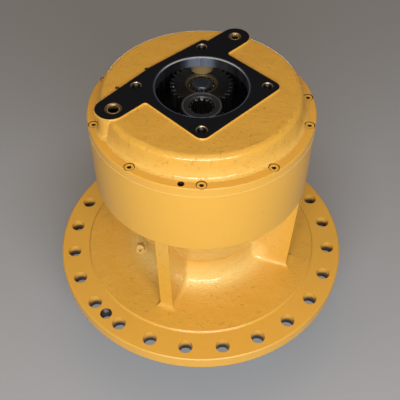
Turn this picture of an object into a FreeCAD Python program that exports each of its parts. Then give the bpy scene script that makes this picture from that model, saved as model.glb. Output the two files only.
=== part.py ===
import FreeCAD, Part
import math
import os
from FreeCAD import Vector

# Swing reduction gearbox of an excavator, without its motor. Millimetres, +Z up.
# The origin is the centre of the frame bolt circle, on the mounting face under the flange.
# Angles are in degrees from +X, counter-clockwise seen from above.

# Mounting flange of the housing
FLANGE_DIAMETER = 490.0
FLANGE_THICKNESS = 23.0
FLANGE_EDGE_CHAMFER = 1.5
FRAME_BOLT_EDGE = 22.0
FRAME_BOLT_COUNT = 24
FRAME_BOLT_HOLE = 22.0
FRAME_BOLT_START = 8.9
FRAME_JACK_HOLE = 17.5
FRAME_JACK_ANGLE = -133.6
DISC_TO_BOLTS = 27.5
DISC_HEIGHT = 2.9
DISC_EDGE_WIDTH = 2.6

# Locating spigot and seal hub under the flange
SPIGOT_DIAMETER = 260.0
SPIGOT_HEIGHT = 12.0
HUB_DIAMETER = 212.0
HUB_HEIGHT = 34.0
HUB_CHAMFER = 2.0

# Neck, flared shoulder, ribs and drum of the housing
NECK_DIAMETER = 196.0
FLARE_START = 77.0
DRUM_DIAMETER = 332.4
DRUM_BOTTOM = 198.3
DRUM_LIP = 1.2
DRUM_LIP_ROUNDING = 1.1
JOINT_HEIGHT = 309.3
RIB_COUNT = 4
RIB_START = -110.5
RIB_THICKNESS = 21.0
RIB_FOOT_RADIUS = 158.7
RIB_TOP_INSET = 1.8
RIB_FILLET = 8.0
NECK_FILLET = 18.0
RIB_INSET = 7.0
CASTING_WALL = 14.0
BEARING_BOSS_WALL = 12.0
POCKET_WIDTH = 5.0
JACK_CHAMFER = 1.0

# Port at the foot of the neck: a short stub that leans out of the fillet, with a screw plug
PORT_ANGLE = -161.0
PORT_CIRCLE = 224.0
PORT_RISE = 6.0
PORT_AIM = -118.0
PORT_TILT = 48.0
PORT_STUB_DIAMETER = 14.5
PORT_STUB_LENGTH = 14.0
PORT_PLUG_DIAMETER = 10.0
PORT_PLUG_LENGTH = 10.0
PORT_PLUG_SOCKET = 6.0
PORT_PLUG_SINK = 2.0

# Cover
RIM_THICKNESS = 14.3
RIM_EDGE_CHAMFER = 1.2
COVER_TOP = 358.0
COVER_FOOT_DIAMETER = 298.0
COVER_TOP_DIAMETER = 288.0
COVER_FOOT_FILLET = 7.0
COVER_TOP_FILLET = 9.0
COVER_CAVITY_DIAMETER = 258.0
COVER_CAVITY_CHAMFER = 9.0
COVER_PLATE_BOTTOM = 344.2
COVER_SPIGOT_HEIGHT = 4.3
COVER_JACK_ANGLE = -99.8
COVER_JACK_HOLE = 8.5

# Motor pad on the cover, in a square frame turned by 45 degrees
PAD_TURN = 45.0
PAD_HEIGHT = 2.4
PAD_SLOPE = 1.6
PILOT_DIAMETER = 133.0
PILOT_LEAD_WIDTH = 3.2
PILOT_LEAD_DEPTH = 1.2
MOTOR_BOLT_CIRCLE = 185.7
MOTOR_BOLT_COUNT = 4
MOTOR_BOLT_HOLE = 14.0
MOTOR_BOLT_CHAMFER = 1.0
MOTOR_BOLT_DEPTH = 32.0
MOTOR_BOSS_DIAMETER = 36.0
MOTOR_BOSS_BOTTOM = 323.0
PAD_HALF_WIDTH = 80.3
PAD_FRONT = -81.5
PAD_CORNER = 12.0
PAD_NOTCH_ROUNDING = 5.0
PAD_RIDGE_LIFT = 33.6
PAD_RIDGE_PLACE = -23.0
PAD_RIDGE_ROUNDING = 30.0
PAD_SHOULDER_FALL = 4.7
PAD_SHOULDER_ROUNDING = 8.0
PAD_HEEL = 2.7
PAD_HEEL_ROUNDING = 1.5
EAR_OFFSET = 121.0
EAR_RISE = 49.6
EAR_RADIUS = 21.5
EAR_TANGENT_GAP = 0.1
LEFT_EAR_REACH = 2.5
LEFT_EAR_LIFT = 1.3
RIGHT_EAR_REACH = 0.5
RIGHT_EAR_LIFT = -0.7
LEFT_SLEEVE_OUTER = 18.7
LEFT_SLEEVE_INNER = 15.6
RIGHT_SLEEVE_OUTER = 14.4
RIGHT_SLEEVE_INNER = 11.3
SLEEVE_MOAT = 0.9
SLEEVE_MOAT_DEPTH = 2.6
SLEEVE_MOUTH_WIDTH = 1.7
SLEEVE_SINK = 1.2
SLEEVE_LENGTH = 16.0
SLEEVE_HOLE_DEPTH = 30.0
SLEEVE_HOLE_STEP = 1.0

# Screws that hold the cover
SCREW_CIRCLE = 316.0
SCREW_ANGLES = [-165.0 + 37.5 * step for step in range(5)] + [7.5 + 37.5 * step for step in range(5)]
SCREW_DIAMETER = 8.0
SCREW_HEAD_DIAMETER = 13.0
SCREW_HEAD_HEIGHT = 8.0
SCREW_SOCKET = 6.0
SCREW_SOCKET_DEPTH = 4.5
SCREW_LENGTH = 24.0
SCREW_PLAY = 0.3
SCREW_HEAD_ROOM = 1.0
SCREW_SINK = 0.6
SCREW_TIP_ROOM = 3.0

# Seal ring at the joint
JOINT_SEAL_INNER = 292.0
JOINT_SEAL_WIDTH = 4.0
JOINT_SEAL_DEPTH = 3.0

# Ring gear and the two planet stages
MODULE = 3.0
PRESSURE_ANGLE = 20.0
RING_TEETH = 82
RING_DIAMETER = 284.0
RING_BOTTOM = 200.0
RING_SEAT_DIAMETER = 256.0
RING_DOWEL_CIRCLE = 269.0
RING_DOWEL_DIAMETER = 8.0
RING_DOWEL_LENGTH = 24.0
RING_DOWEL_COUNT = 4
RING_DOWEL_START = 45.0
PLANET_COUNT = 3
PLANET_START = 90.0
FIRST_SUN_TEETH = 20
FIRST_PLANET_TEETH = 31
FIRST_PLANET_BOTTOM = 272.8
FIRST_PLANET_TOP = 304.5
SECOND_SUN_TEETH = 26
SECOND_PLANET_TEETH = 28
SECOND_PLANET_BOTTOM = 200.8
SECOND_PLANET_TOP = 246.2
ADDENDUM = 1.0
DEDENDUM = 1.25
FLANK_PLAY = 0.14
PLAY = 0.1
FIT_PLAY = 0.05
SPLINE_ADDENDUM = 0.5
SPLINE_DEDENDUM = 0.6

# Input sun gear
SUN_BOTTOM = 276.0
SUN_TEETH_TOP = 306.5
SUN_TOP = 324.6
SUN_COLLAR_DIAMETER = 61.8
SUN_COLLAR_CHAMFER = 1.8
SUN_LEAD_CHAMFER = 3.5
SUN_MOUTH_DIAMETER = 40.0
INPUT_SPLINE_TEETH = 14
INPUT_SPLINE_MODULE = 2.5

# First carrier with its pins, bearings and washers
FIRST_CARRIER_DIAMETER = 216.0
FIRST_CARRIER_BOTTOM = 259.0
FIRST_CARRIER_TOP = 271.0
CARRIER_WINDOW = 40.0
SUN_HOLD_ROOM = 0.05
FIRST_PIN_DIAMETER = 26.6
FIRST_PIN_TOP = 306.3
FIRST_PIN_CHAMFER = 1.6
FIRST_INNER_RACE = 31.0
FIRST_ROLLER_DIAMETER = 6.2
FIRST_ROLLER_COUNT = 14
FIRST_OUTER_RACE = 50.2
FIRST_BEARING_INSET = 1.0
WASHER_THICKNESS = 1.5
WASHER_OUTER = 40.0

# Second sun gear
SECOND_SUN_BOTTOM = 202.0
SECOND_SUN_TOP = 270.8
SECOND_SUN_BORE = 24.0
SUN_RING_THICKNESS = 2.0
SUN_RING_OUTER = 88.0
SUN_RING_GROOVE = 70.0
SUN_RING_TOP_GAP = 0.5
THRUST_BUTTON_DIAMETER = 48.0
THRUST_BUTTON_STEM = 14.0
THRUST_BUTTON_GAP = 0.3

# Second carrier
SECOND_CARRIER_DIAMETER = 224.0
SECOND_CARRIER_BOTTOM = 178.0
SECOND_CARRIER_FLOOR = 199.0
SECOND_CARRIER_CEILING = 248.0
SECOND_CARRIER_TOP = 257.0
SECOND_CARRIER_HOLE = 92.0
SECOND_CARRIER_HUB = 108.0
SECOND_COLUMN_DIAMETER = 26.0
SECOND_COLUMN_CIRCLE = 194.0
SECOND_PIN_DIAMETER = 30.0
SECOND_BEARING_DIAMETER = 46.0

# Output pinion shaft
PINION_MODULE = 10.0
PINION_TEETH = 14
PINION_BOTTOM = -140.0
PINION_TOP = -46.0
PINION_CHAMFER = 3.0
SEAL_COLLAR_DIAMETER = 130.0
SEAL_COLLAR_TOP = -12.0
SHAFT_WAIST_DIAMETER = 100.0
OUTPUT_SPLINE_TEETH = 27
OUTPUT_SPLINE_TOP = 197.5
SHAFT_RING_THICKNESS = 2.5
SHAFT_RING_OUTER = 94.0
SHAFT_RING_GROOVE = 76.0
SHAFT_RING_TOP_ROOM = 2.0
COLLAR_CHAMFER = 3.0
CENTRE_HOLE_DIAMETER = 16.0
CENTRE_HOLE_DEPTH = 24.0

# Bearings and seal of the output shaft
LOWER_BEARING_BORE = 110.0
LOWER_BEARING_DIAMETER = 170.0
LOWER_BEARING_WIDTH = 47.0
UPPER_BEARING_BORE = 90.0
UPPER_BEARING_DIAMETER = 160.0
UPPER_BEARING_WIDTH = 40.0
UPPER_BEARING_BOTTOM = 98.0
BEARING_LIP = 8.0
BEARING_LIP_WIDTH = 8.0
ROLLER_TILT = 12.0
ROLLER_COUNT = 15
ROLLER_SIDES = 10
LOWER_ROLLER_DIAMETER = 14.0
UPPER_ROLLER_DIAMETER = 16.0
ROLLER_END_GAP = 5.0
SNAP_RING_THICKNESS = 3.0
SNAP_RING_DEPTH = 3.0
SNAP_RING_REACH = 5.0
SNAP_RING_GAP = 0.2
SEAL_HEIGHT = 14.0
SEAL_SINK = 2.0
SEAL_WALL = 4.0
SEAL_LIP_HEIGHT = 5.0

# Cutting tools run this far past the faces that they cut through
OVERRUN = 1.0

# Sizes that follow from the ones above
FRAME_BOLT_CIRCLE = FLANGE_DIAMETER - 2 * FRAME_BOLT_EDGE
DISC_DIAMETER = FRAME_BOLT_CIRCLE - 2 * DISC_TO_BOLTS
DISC_TOP = FLANGE_THICKNESS + DISC_HEIGHT
DRUM_RADIUS = DRUM_DIAMETER / 2
NECK_RADIUS = NECK_DIAMETER / 2
RIM_TOP = JOINT_HEIGHT + RIM_THICKNESS
PAD_TOP = COVER_TOP + PAD_HEIGHT
PILOT_RADIUS = PILOT_DIAMETER / 2
CUP_RADIUS = RING_DIAMETER / 2
RING_TOP = JOINT_HEIGHT - COVER_SPIGOT_HEIGHT
FIRST_CENTRES = MODULE * (FIRST_SUN_TEETH + FIRST_PLANET_TEETH) / 2
SECOND_CENTRES = MODULE * (SECOND_SUN_TEETH + SECOND_PLANET_TEETH) / 2
LOWER_BEARING_TOP = SEAL_COLLAR_TOP + LOWER_BEARING_WIDTH
UPPER_BEARING_TOP = UPPER_BEARING_BOTTOM + UPPER_BEARING_WIDTH
FLARE_TOP_RADIUS = DRUM_RADIUS - DRUM_LIP
FLARE_SLOPE = (FLARE_TOP_RADIUS - NECK_RADIUS) / (DRUM_BOTTOM - FLARE_START)
PLANET_ANGLES = [PLANET_START + 360.0 / PLANET_COUNT * step for step in range(PLANET_COUNT)]


def polar(radius, angle, height=0.0):
    turn = math.radians(angle)
    return Vector(radius * math.cos(turn), radius * math.sin(turn), height)


def cylinder(radius, bottom, top, centre=Vector(0, 0, 0)):
    return Part.makeCylinder(radius, top - bottom, Vector(centre.x, centre.y, bottom))


def cone(bottom_radius, top_radius, bottom, top, centre=Vector(0, 0, 0)):
    return Part.makeCone(bottom_radius, top_radius, top - bottom, Vector(centre.x, centre.y, bottom))


def drill(diameter, bottom, top, centre=Vector(0, 0, 0)):
    """A cutter for a hole that runs right through from bottom to top."""
    return cylinder(diameter / 2, bottom - OVERRUN, top + OVERRUN, centre)


def ring(outer, inner, bottom, top, centre=Vector(0, 0, 0)):
    return cylinder(outer, bottom, top, centre).cut(cylinder(inner, bottom, top, centre))


def rounded_face(corners, place):
    """A face through corners (a, b, radius); place turns a and b into a point."""
    ends = []
    for index, (a, b, radius) in enumerate(corners):
        here = place(a, b)
        before = (place(*corners[index - 1][:2]) - here).normalize()
        after = (place(*corners[(index + 1) % len(corners)][:2]) - here).normalize()
        if radius == 0:
            ends.append((here, None, here))
            continue
        half = before.getAngle(after) / 2
        inward = (before + after).normalize()
        reach = radius / math.tan(half)
        middle = here + inward * (radius / math.sin(half) - radius)
        ends.append((here + before * reach, middle, here + after * reach))
    edges = []
    for index, (start, middle, end) in enumerate(ends):
        last = ends[index - 1][2]
        if last.distanceToPoint(start) > 1e-6:
            edges.append(Part.makeLine(last, start))
        if middle is not None:
            edges.append(Part.Arc(start, middle, end).toShape())
    return Part.Face(Part.Wire(edges))


def turned(corners):
    """A solid of revolution about Z from corners (radius, height, rounding)."""
    face = rounded_face(corners, lambda radius, height: Vector(radius, 0, height))
    return face.revolve(Vector(0, 0, 0), Vector(0, 0, 1), 360)


def prism(points, bottom, top):
    """An upright prism over a closed outline of (x, y) points."""
    outline = [Vector(point.x, point.y, bottom) for point in points]
    face = Part.Face(Part.makePolygon(outline + outline[:1]))
    return face.extrude(Vector(0, 0, top - bottom))


def hexagon(across_flats, bottom, top, centre=Vector(0, 0, 0)):
    corner = across_flats / math.sqrt(3)
    return prism([centre + polar(corner, 60 * side) for side in range(6)], bottom, top)


def rounded_edges(solid, rounding):
    """Rounds a solid's edges in one go; rounding gives an edge's radius, or 0 to leave it."""
    document = FreeCAD.newDocument("rounding")
    base = document.addObject("Part::Feature", "base")
    base.Shape = solid
    fillet = document.addObject("Part::Fillet", "fillet")
    fillet.Base = base
    radii = [(number, rounding(edge)) for number, edge in enumerate(base.Shape.Edges, 1)]
    fillet.Edges = [(number, radius, radius) for number, radius in radii if radius > 0]
    document.recompute()
    result = fillet.Shape.copy()
    FreeCAD.closeDocument(document.Name)
    return result


def edge_place(edge):
    """Heights of an edge's ends and of its middle, and the radius at its middle."""
    middle = edge.valueAt((edge.FirstParameter + edge.LastParameter) / 2)
    return [vertex.Z for vertex in edge.Vertexes], middle.z, math.hypot(middle.x, middle.y)


def involute(angle):
    return math.tan(angle) - angle


def half_tooth(teeth, module, radius):
    """Half the angle, in degrees, that an involute tooth fills at a radius."""
    pressure = math.radians(PRESSURE_ANGLE)
    base = module * teeth / 2 * math.cos(pressure)
    local = math.acos(min(1.0, base / radius))
    return math.degrees(math.pi / (2 * teeth) + involute(pressure) - involute(local))


def tooth_points(teeth, radii, half_angle, phase):
    """Outline of a toothed wheel: each flank has a point at each of the radii."""
    points = []
    for tooth in range(teeth):
        centre = phase + 360.0 / teeth * tooth
        rising = [polar(radius, centre - half_angle(radius)) for radius in radii]
        falling = [polar(radius, centre + half_angle(radius)) for radius in reversed(radii)]
        points += rising + falling
    return points


def outer_teeth(teeth, module, phase=0.0, addendum=ADDENDUM, dedendum=DEDENDUM, play=FLANK_PLAY):
    """Outline of an external gear, with a tooth at the phase angle."""
    pitch = module * teeth / 2
    radii = [pitch - dedendum * module, pitch, pitch + addendum * module]
    return tooth_points(
        teeth, radii, lambda r: half_tooth(teeth, module, r) - math.degrees(play / r), phase
    )


def inner_teeth(teeth, module, phase=0.0, addendum=ADDENDUM, dedendum=DEDENDUM, play=FLANK_PLAY):
    """Outline of the hole of an internal gear, with a space at the phase angle."""
    pitch = module * teeth / 2
    radii = [pitch - addendum * module, pitch, pitch + dedendum * module]
    return tooth_points(
        teeth, radii, lambda r: half_tooth(teeth, module, r) + math.degrees(play / r), phase
    )


def planet_phase(angle, teeth):
    """Turn of a planet at the given angle that meshes it with the fixed ring gear."""
    return angle * (1 - RING_TEETH / teeth)


def sun_phase(angle, sun_teeth, planet_teeth):
    """Turn of the sun that meshes it with the planet at the given angle."""
    planet_teeth_past = (angle + 180 - planet_phase(angle, planet_teeth)) * planet_teeth / 360
    return angle - (0.5 - planet_teeth_past) * 360 / sun_teeth


def write(name, *solids):
    shape = solids[0] if len(solids) == 1 else Part.makeCompound(list(solids))
    shape.exportStep("parts/" + name + ".step")
    print(name, len(shape.Solids), round(shape.Volume), shape.isValid())


def rib(angle):
    """One rib from the flange's disc up to the drum, set into the wall of the neck."""
    top_radius = DRUM_RADIUS - RIB_TOP_INSET
    top = FLARE_START + (top_radius - NECK_RADIUS) / FLARE_SLOPE
    inside = NECK_RADIUS - RIB_INSET
    corners = [
        Vector(inside, 0, FLANGE_THICKNESS),
        Vector(RIB_FOOT_RADIUS, 0, FLANGE_THICKNESS),
        Vector(RIB_FOOT_RADIUS, 0, DISC_TOP),
        Vector(top_radius, 0, top),
        Vector(top_radius, 0, top + RIB_INSET),
        Vector(top_radius - RIB_INSET, 0, top + RIB_INSET),
        Vector(inside, 0, FLARE_START + RIB_INSET),
    ]
    face = Part.Face(Part.makePolygon(corners + corners[:1]))
    face.translate(Vector(0, -RIB_THICKNESS / 2, 0))
    web = face.extrude(Vector(0, RIB_THICKNESS, 0))
    web.rotate(Vector(0, 0, 0), Vector(0, 0, 1), angle)
    return web


def rib_root_rounding(edge):
    """Cast fillets round the foot of the neck and of the ribs, and up the neck beside each rib."""
    if edge.Degenerated or len(edge.Vertexes) < 2:
        return 0
    heights, middle, radius = edge_place(edge)
    ends = [math.hypot(vertex.X, vertex.Y) for vertex in edge.Vertexes]
    on_disc = max(abs(height - DISC_TOP) for height in heights) < 0.001
    on_neck = max(abs(end - NECK_RADIUS) for end in ends + [radius]) < 0.1
    if on_disc and on_neck:
        return NECK_FILLET
    if on_disc and NECK_RADIUS - 1 < radius < RIB_FOOT_RADIUS + 1:
        return RIB_FILLET
    up_neck = abs(min(heights) - DISC_TOP) < 0.001 and abs(radius - NECK_RADIUS) < 1
    return RIB_FILLET if up_neck and middle > DISC_TOP + 1 else 0


def housing_outside():
    """The turned outer form of the housing with its ribs and cast fillets, still solid."""
    chamfer = FLANGE_EDGE_CHAMFER
    body = turned([
        (0, -HUB_HEIGHT, 0),
        (HUB_DIAMETER / 2 - HUB_CHAMFER, -HUB_HEIGHT, 0),
        (HUB_DIAMETER / 2, HUB_CHAMFER - HUB_HEIGHT, 0),
        (HUB_DIAMETER / 2, -SPIGOT_HEIGHT, 0),
        (SPIGOT_DIAMETER / 2 - HUB_CHAMFER, -SPIGOT_HEIGHT, 0),
        (SPIGOT_DIAMETER / 2, HUB_CHAMFER - SPIGOT_HEIGHT, 0),
        (SPIGOT_DIAMETER / 2, 0, 0),
        (FLANGE_DIAMETER / 2, 0, 0),
        (FLANGE_DIAMETER / 2, FLANGE_THICKNESS - chamfer, 0),
        (FLANGE_DIAMETER / 2 - chamfer, FLANGE_THICKNESS, 0),
        (DISC_DIAMETER / 2 + DISC_EDGE_WIDTH, FLANGE_THICKNESS, 0),
        (DISC_DIAMETER / 2, DISC_TOP, 0),
        (NECK_RADIUS, DISC_TOP, 0),
        (NECK_RADIUS, FLARE_START, 0),
        (FLARE_TOP_RADIUS, DRUM_BOTTOM, 0),
        (DRUM_RADIUS, DRUM_BOTTOM, DRUM_LIP_ROUNDING),
        (DRUM_RADIUS, JOINT_HEIGHT, 0),
        (0, JOINT_HEIGHT, 0),
    ])
    for step in range(RIB_COUNT):
        body = body.fuse(rib(RIB_START + 360.0 / RIB_COUNT * step))
    return rounded_edges(body, rib_root_rounding)


def housing_inside():
    """The room inside the housing: bearing seats, oil pocket, and the cup of the ring gear."""
    lower_seat = LOWER_BEARING_DIAMETER / 2
    upper_seat = UPPER_BEARING_DIAMETER / 2
    boss = upper_seat + BEARING_BOSS_WALL
    wall_across = CASTING_WALL * math.hypot(1, FLARE_SLOPE)
    flare_inside = FLARE_START + (RING_SEAT_DIAMETER / 2 + wall_across - NECK_RADIUS) / FLARE_SLOPE
    pocket_bottom = FLARE_START + (boss + POCKET_WIDTH + wall_across - NECK_RADIUS) / FLARE_SLOPE
    room = turned([
        (0, -HUB_HEIGHT - OVERRUN, 0),
        (lower_seat, -HUB_HEIGHT - OVERRUN, 0),
        (lower_seat, LOWER_BEARING_TOP, 0),
        (lower_seat - BEARING_LIP, LOWER_BEARING_TOP, 0),
        (lower_seat - BEARING_LIP, LOWER_BEARING_TOP + BEARING_LIP_WIDTH, 0),
        (upper_seat - BEARING_LIP, UPPER_BEARING_BOTTOM - BEARING_LIP_WIDTH, 0),
        (upper_seat - BEARING_LIP, UPPER_BEARING_BOTTOM, 0),
        (upper_seat, UPPER_BEARING_BOTTOM, 0),
        (upper_seat, UPPER_BEARING_TOP, 0),
        (boss, UPPER_BEARING_TOP, 0),
        (boss, pocket_bottom, 0),
        (boss + POCKET_WIDTH, pocket_bottom, 0),
        (RING_SEAT_DIAMETER / 2, flare_inside, 0),
        (RING_SEAT_DIAMETER / 2, RING_BOTTOM, 0),
        (CUP_RADIUS, RING_BOTTOM, 0),
        (CUP_RADIUS, JOINT_HEIGHT + OVERRUN, 0),
        (0, JOINT_HEIGHT + OVERRUN, 0),
    ])
    snap_top = SEAL_COLLAR_TOP - SNAP_RING_GAP
    snap_bottom = snap_top - SNAP_RING_THICKNESS
    snap_groove = ring(lower_seat + SNAP_RING_DEPTH, lower_seat - OVERRUN, snap_bottom, snap_top)
    seal_inner = JOINT_SEAL_INNER / 2
    seal_bottom = JOINT_HEIGHT - JOINT_SEAL_DEPTH
    seal_groove = ring(seal_inner + JOINT_SEAL_WIDTH, seal_inner, seal_bottom, JOINT_HEIGHT + OVERRUN)
    return [room, snap_groove, seal_groove]


def frame_bolt_holes():
    holes = []
    for step in range(FRAME_BOLT_COUNT):
        centre = polar(FRAME_BOLT_CIRCLE / 2, FRAME_BOLT_START + 360.0 / FRAME_BOLT_COUNT * step)
        holes.append(drill(FRAME_BOLT_HOLE, 0, FLANGE_THICKNESS, centre))
    return holes


def tapped_hole(diameter, bottom, top, centre, chamfer):
    """A plain hole of the tapping size with a countersunk mouth at the top."""
    radius = diameter / 2
    hole = cylinder(radius, bottom, top + OVERRUN, centre)
    return hole.fuse(cone(radius, radius + chamfer, top - chamfer, top, centre))


def port_axis():
    """Middle of the port's face, and the way that the face looks."""
    tilt = math.radians(PORT_TILT)
    out = polar(math.cos(tilt), PORT_AIM, math.sin(tilt))
    return polar(PORT_CIRCLE / 2, PORT_ANGLE, DISC_TOP + PORT_RISE), out


def port_stub():
    face, out = port_axis()
    return Part.makeCylinder(PORT_STUB_DIAMETER / 2, PORT_STUB_LENGTH, face, out * -1)


def port_hole():
    face, out = port_axis()
    return Part.makeCylinder(PORT_PLUG_DIAMETER / 2, PORT_PLUG_SINK + PORT_PLUG_LENGTH, face, out * -1)


def port_plug():
    """Screw plug in the port, with a hexagon socket."""
    face, out = port_axis()
    bottom = -PORT_PLUG_SINK - PORT_PLUG_LENGTH
    plug = cylinder(PORT_PLUG_DIAMETER / 2, bottom, -PORT_PLUG_SINK)
    plug = plug.cut(hexagon(PORT_PLUG_SOCKET, -PORT_PLUG_SINK - PORT_PLUG_LENGTH / 2, 1))
    plug.Placement = FreeCAD.Placement(face, FreeCAD.Rotation(Vector(0, 0, 1), out))
    return plug


def screw_seat():
    """Height of the face under a cover screw's head."""
    return RIM_TOP - SCREW_SINK - SCREW_HEAD_HEIGHT


def dowel_centres():
    return [
        polar(RING_DOWEL_CIRCLE / 2, RING_DOWEL_START + 360.0 / RING_DOWEL_COUNT * step)
        for step in range(RING_DOWEL_COUNT)
    ]


def housing():
    cuts = housing_inside() + frame_bolt_holes()
    jack_centre = polar(FRAME_BOLT_CIRCLE / 2, FRAME_JACK_ANGLE)
    cuts.append(tapped_hole(FRAME_JACK_HOLE, -OVERRUN, FLANGE_THICKNESS, jack_centre, JACK_CHAMFER))
    for angle in SCREW_ANGLES:
        centre = polar(SCREW_CIRCLE / 2, angle)
        bottom = screw_seat() - SCREW_LENGTH - SCREW_TIP_ROOM
        cuts.append(cylinder(SCREW_DIAMETER / 2, bottom, JOINT_HEIGHT + OVERRUN, centre))
    for centre in dowel_centres():
        bottom = RING_BOTTOM - RING_DOWEL_LENGTH / 2
        cuts.append(cylinder(RING_DOWEL_DIAMETER / 2, bottom, RING_BOTTOM + OVERRUN, centre))
    cuts.append(port_hole())
    return housing_outside().fuse(port_stub()).cut(cuts)


def pad_place(height):
    """Turns a point of the pad's own square frame into the part's frame."""
    turn = math.radians(PAD_TURN)
    along = Vector(math.cos(turn), math.sin(turn), 0)
    across = Vector(-math.sin(turn), math.cos(turn), 0)
    return lambda u, v: along * u + across * v + Vector(0, 0, height)


def ear_centres():
    place = pad_place(0)
    return place(-EAR_OFFSET, EAR_RISE), place(EAR_OFFSET, EAR_RISE)


def motor_pad():
    """The raised pad: a square with rounded corners and a strip that ends in two ears."""
    left_end = -EAR_OFFSET - LEFT_EAR_REACH - EAR_RADIUS
    left_low = EAR_RISE + LEFT_EAR_LIFT - EAR_RADIUS
    right_end = EAR_OFFSET + RIGHT_EAR_REACH + EAR_RADIUS
    right_low = EAR_RISE + RIGHT_EAR_LIFT - EAR_RADIUS
    right_high = right_low + 2 * EAR_RADIUS
    ear_corner = EAR_RADIUS - EAR_TANGENT_GAP
    ridge = EAR_RISE + PAD_RIDGE_LIFT
    corners = [
        (left_end, left_low, ear_corner),
        (left_end, left_low + 2 * EAR_RADIUS, ear_corner),
        (PAD_RIDGE_PLACE, ridge, PAD_RIDGE_ROUNDING),
        (PAD_HALF_WIDTH, ridge - PAD_SHOULDER_FALL, PAD_SHOULDER_ROUNDING),
        (PAD_HALF_WIDTH + PAD_HEEL, right_high, PAD_HEEL_ROUNDING),
        (right_end, right_high, ear_corner),
        (right_end, right_low, ear_corner),
        (PAD_HALF_WIDTH, right_low, PAD_NOTCH_ROUNDING),
        (PAD_HALF_WIDTH, PAD_FRONT, PAD_CORNER),
        (-PAD_HALF_WIDTH, PAD_FRONT, PAD_CORNER),
        (-PAD_HALF_WIDTH, left_low, PAD_NOTCH_ROUNDING),
    ]
    face = rounded_face(corners, pad_place(COVER_TOP)).makeOffset2D(PAD_SLOPE)
    pad = face.extrude(Vector(0, 0, PAD_HEIGHT))
    top_edges = [edge for edge in pad.Edges if edge.BoundBox.ZMin > PAD_TOP - 0.001]
    return pad.makeChamfer(PAD_SLOPE, top_edges)


def ear_pillar(centre):
    """Round pillar under an ear, with a cast fillet turned at its foot."""
    radius = EAR_RADIUS + PAD_SLOPE
    foot = radius + 2 * COVER_FOOT_FILLET
    pillar = turned([
        (0, JOINT_HEIGHT + OVERRUN, 0),
        (foot, JOINT_HEIGHT + OVERRUN, 0),
        (foot, RIM_TOP, 0),
        (radius, RIM_TOP, COVER_FOOT_FILLET),
        (radius, COVER_TOP, 0),
        (0, COVER_TOP, 0),
    ])
    pillar.translate(centre)
    return pillar


def cover_outside():
    """The cover's flange, wall and top with the pillars under the ears and the motor pad."""
    body = turned([
        (0, RING_TOP, 0),
        (CUP_RADIUS - FIT_PLAY, RING_TOP, 0),
        (CUP_RADIUS - FIT_PLAY, JOINT_HEIGHT, 0),
        (DRUM_RADIUS, JOINT_HEIGHT, 0),
        (DRUM_RADIUS, RIM_TOP - RIM_EDGE_CHAMFER, 0),
        (DRUM_RADIUS - RIM_EDGE_CHAMFER, RIM_TOP, 0),
        (COVER_FOOT_DIAMETER / 2, RIM_TOP, COVER_FOOT_FILLET),
        (COVER_TOP_DIAMETER / 2, COVER_TOP, COVER_TOP_FILLET),
        (0, COVER_TOP, 0),
    ])
    within_rim = cylinder(DRUM_RADIUS - RIM_EDGE_CHAMFER, JOINT_HEIGHT, PAD_TOP)
    pillars = [ear_pillar(centre).common(within_rim) for centre in ear_centres()]
    return body.fuse(pillars + [motor_pad()])


def motor_bolt_centres():
    turn = 360.0 / MOTOR_BOLT_COUNT
    return [polar(MOTOR_BOLT_CIRCLE / 2, turn * step) for step in range(MOTOR_BOLT_COUNT)]


def cover_inside():
    """The room under the cover, less the bosses that the motor bolts screw into."""
    cavity = COVER_CAVITY_DIAMETER / 2
    room = turned([
        (0, RING_TOP - OVERRUN, 0),
        (cavity, RING_TOP - OVERRUN, 0),
        (cavity, COVER_PLATE_BOTTOM - COVER_CAVITY_CHAMFER, 0),
        (cavity - COVER_CAVITY_CHAMFER, COVER_PLATE_BOTTOM, 0),
        (0, COVER_PLATE_BOTTOM, 0),
    ])
    for centre in motor_bolt_centres():
        boss_radius = MOTOR_BOSS_DIAMETER / 2
        room = room.cut(cylinder(boss_radius, MOTOR_BOSS_BOTTOM, COVER_PLATE_BOTTOM + OVERRUN, centre))
    pilot = drill(PILOT_DIAMETER, COVER_PLATE_BOTTOM, PAD_TOP)
    lead = cone(PILOT_RADIUS, PILOT_RADIUS + PILOT_LEAD_WIDTH, PAD_TOP - PILOT_LEAD_DEPTH, PAD_TOP)
    return [room, pilot, lead]


def sleeve_sizes():
    left, right = ear_centres()
    return [
        (left, LEFT_SLEEVE_OUTER, LEFT_SLEEVE_INNER),
        (right, RIGHT_SLEEVE_OUTER, RIGHT_SLEEVE_INNER),
    ]


def sleeve_holes(centre, outer, inner):
    """Hole for a dowel sleeve, with a moat round the sleeve's end and a wide sloping mouth."""
    moat = outer / 2 + SLEEVE_MOAT
    top = PAD_TOP - SLEEVE_SINK
    hole = inner / 2 - SLEEVE_HOLE_STEP
    return [
        cone(moat, moat + SLEEVE_MOUTH_WIDTH, top, PAD_TOP, centre),
        cylinder(moat, PAD_TOP - SLEEVE_MOAT_DEPTH, PAD_TOP, centre),
        cylinder(outer / 2, top - SLEEVE_LENGTH, PAD_TOP, centre),
        cylinder(hole, top - SLEEVE_HOLE_DEPTH, PAD_TOP, centre),
    ]


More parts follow.
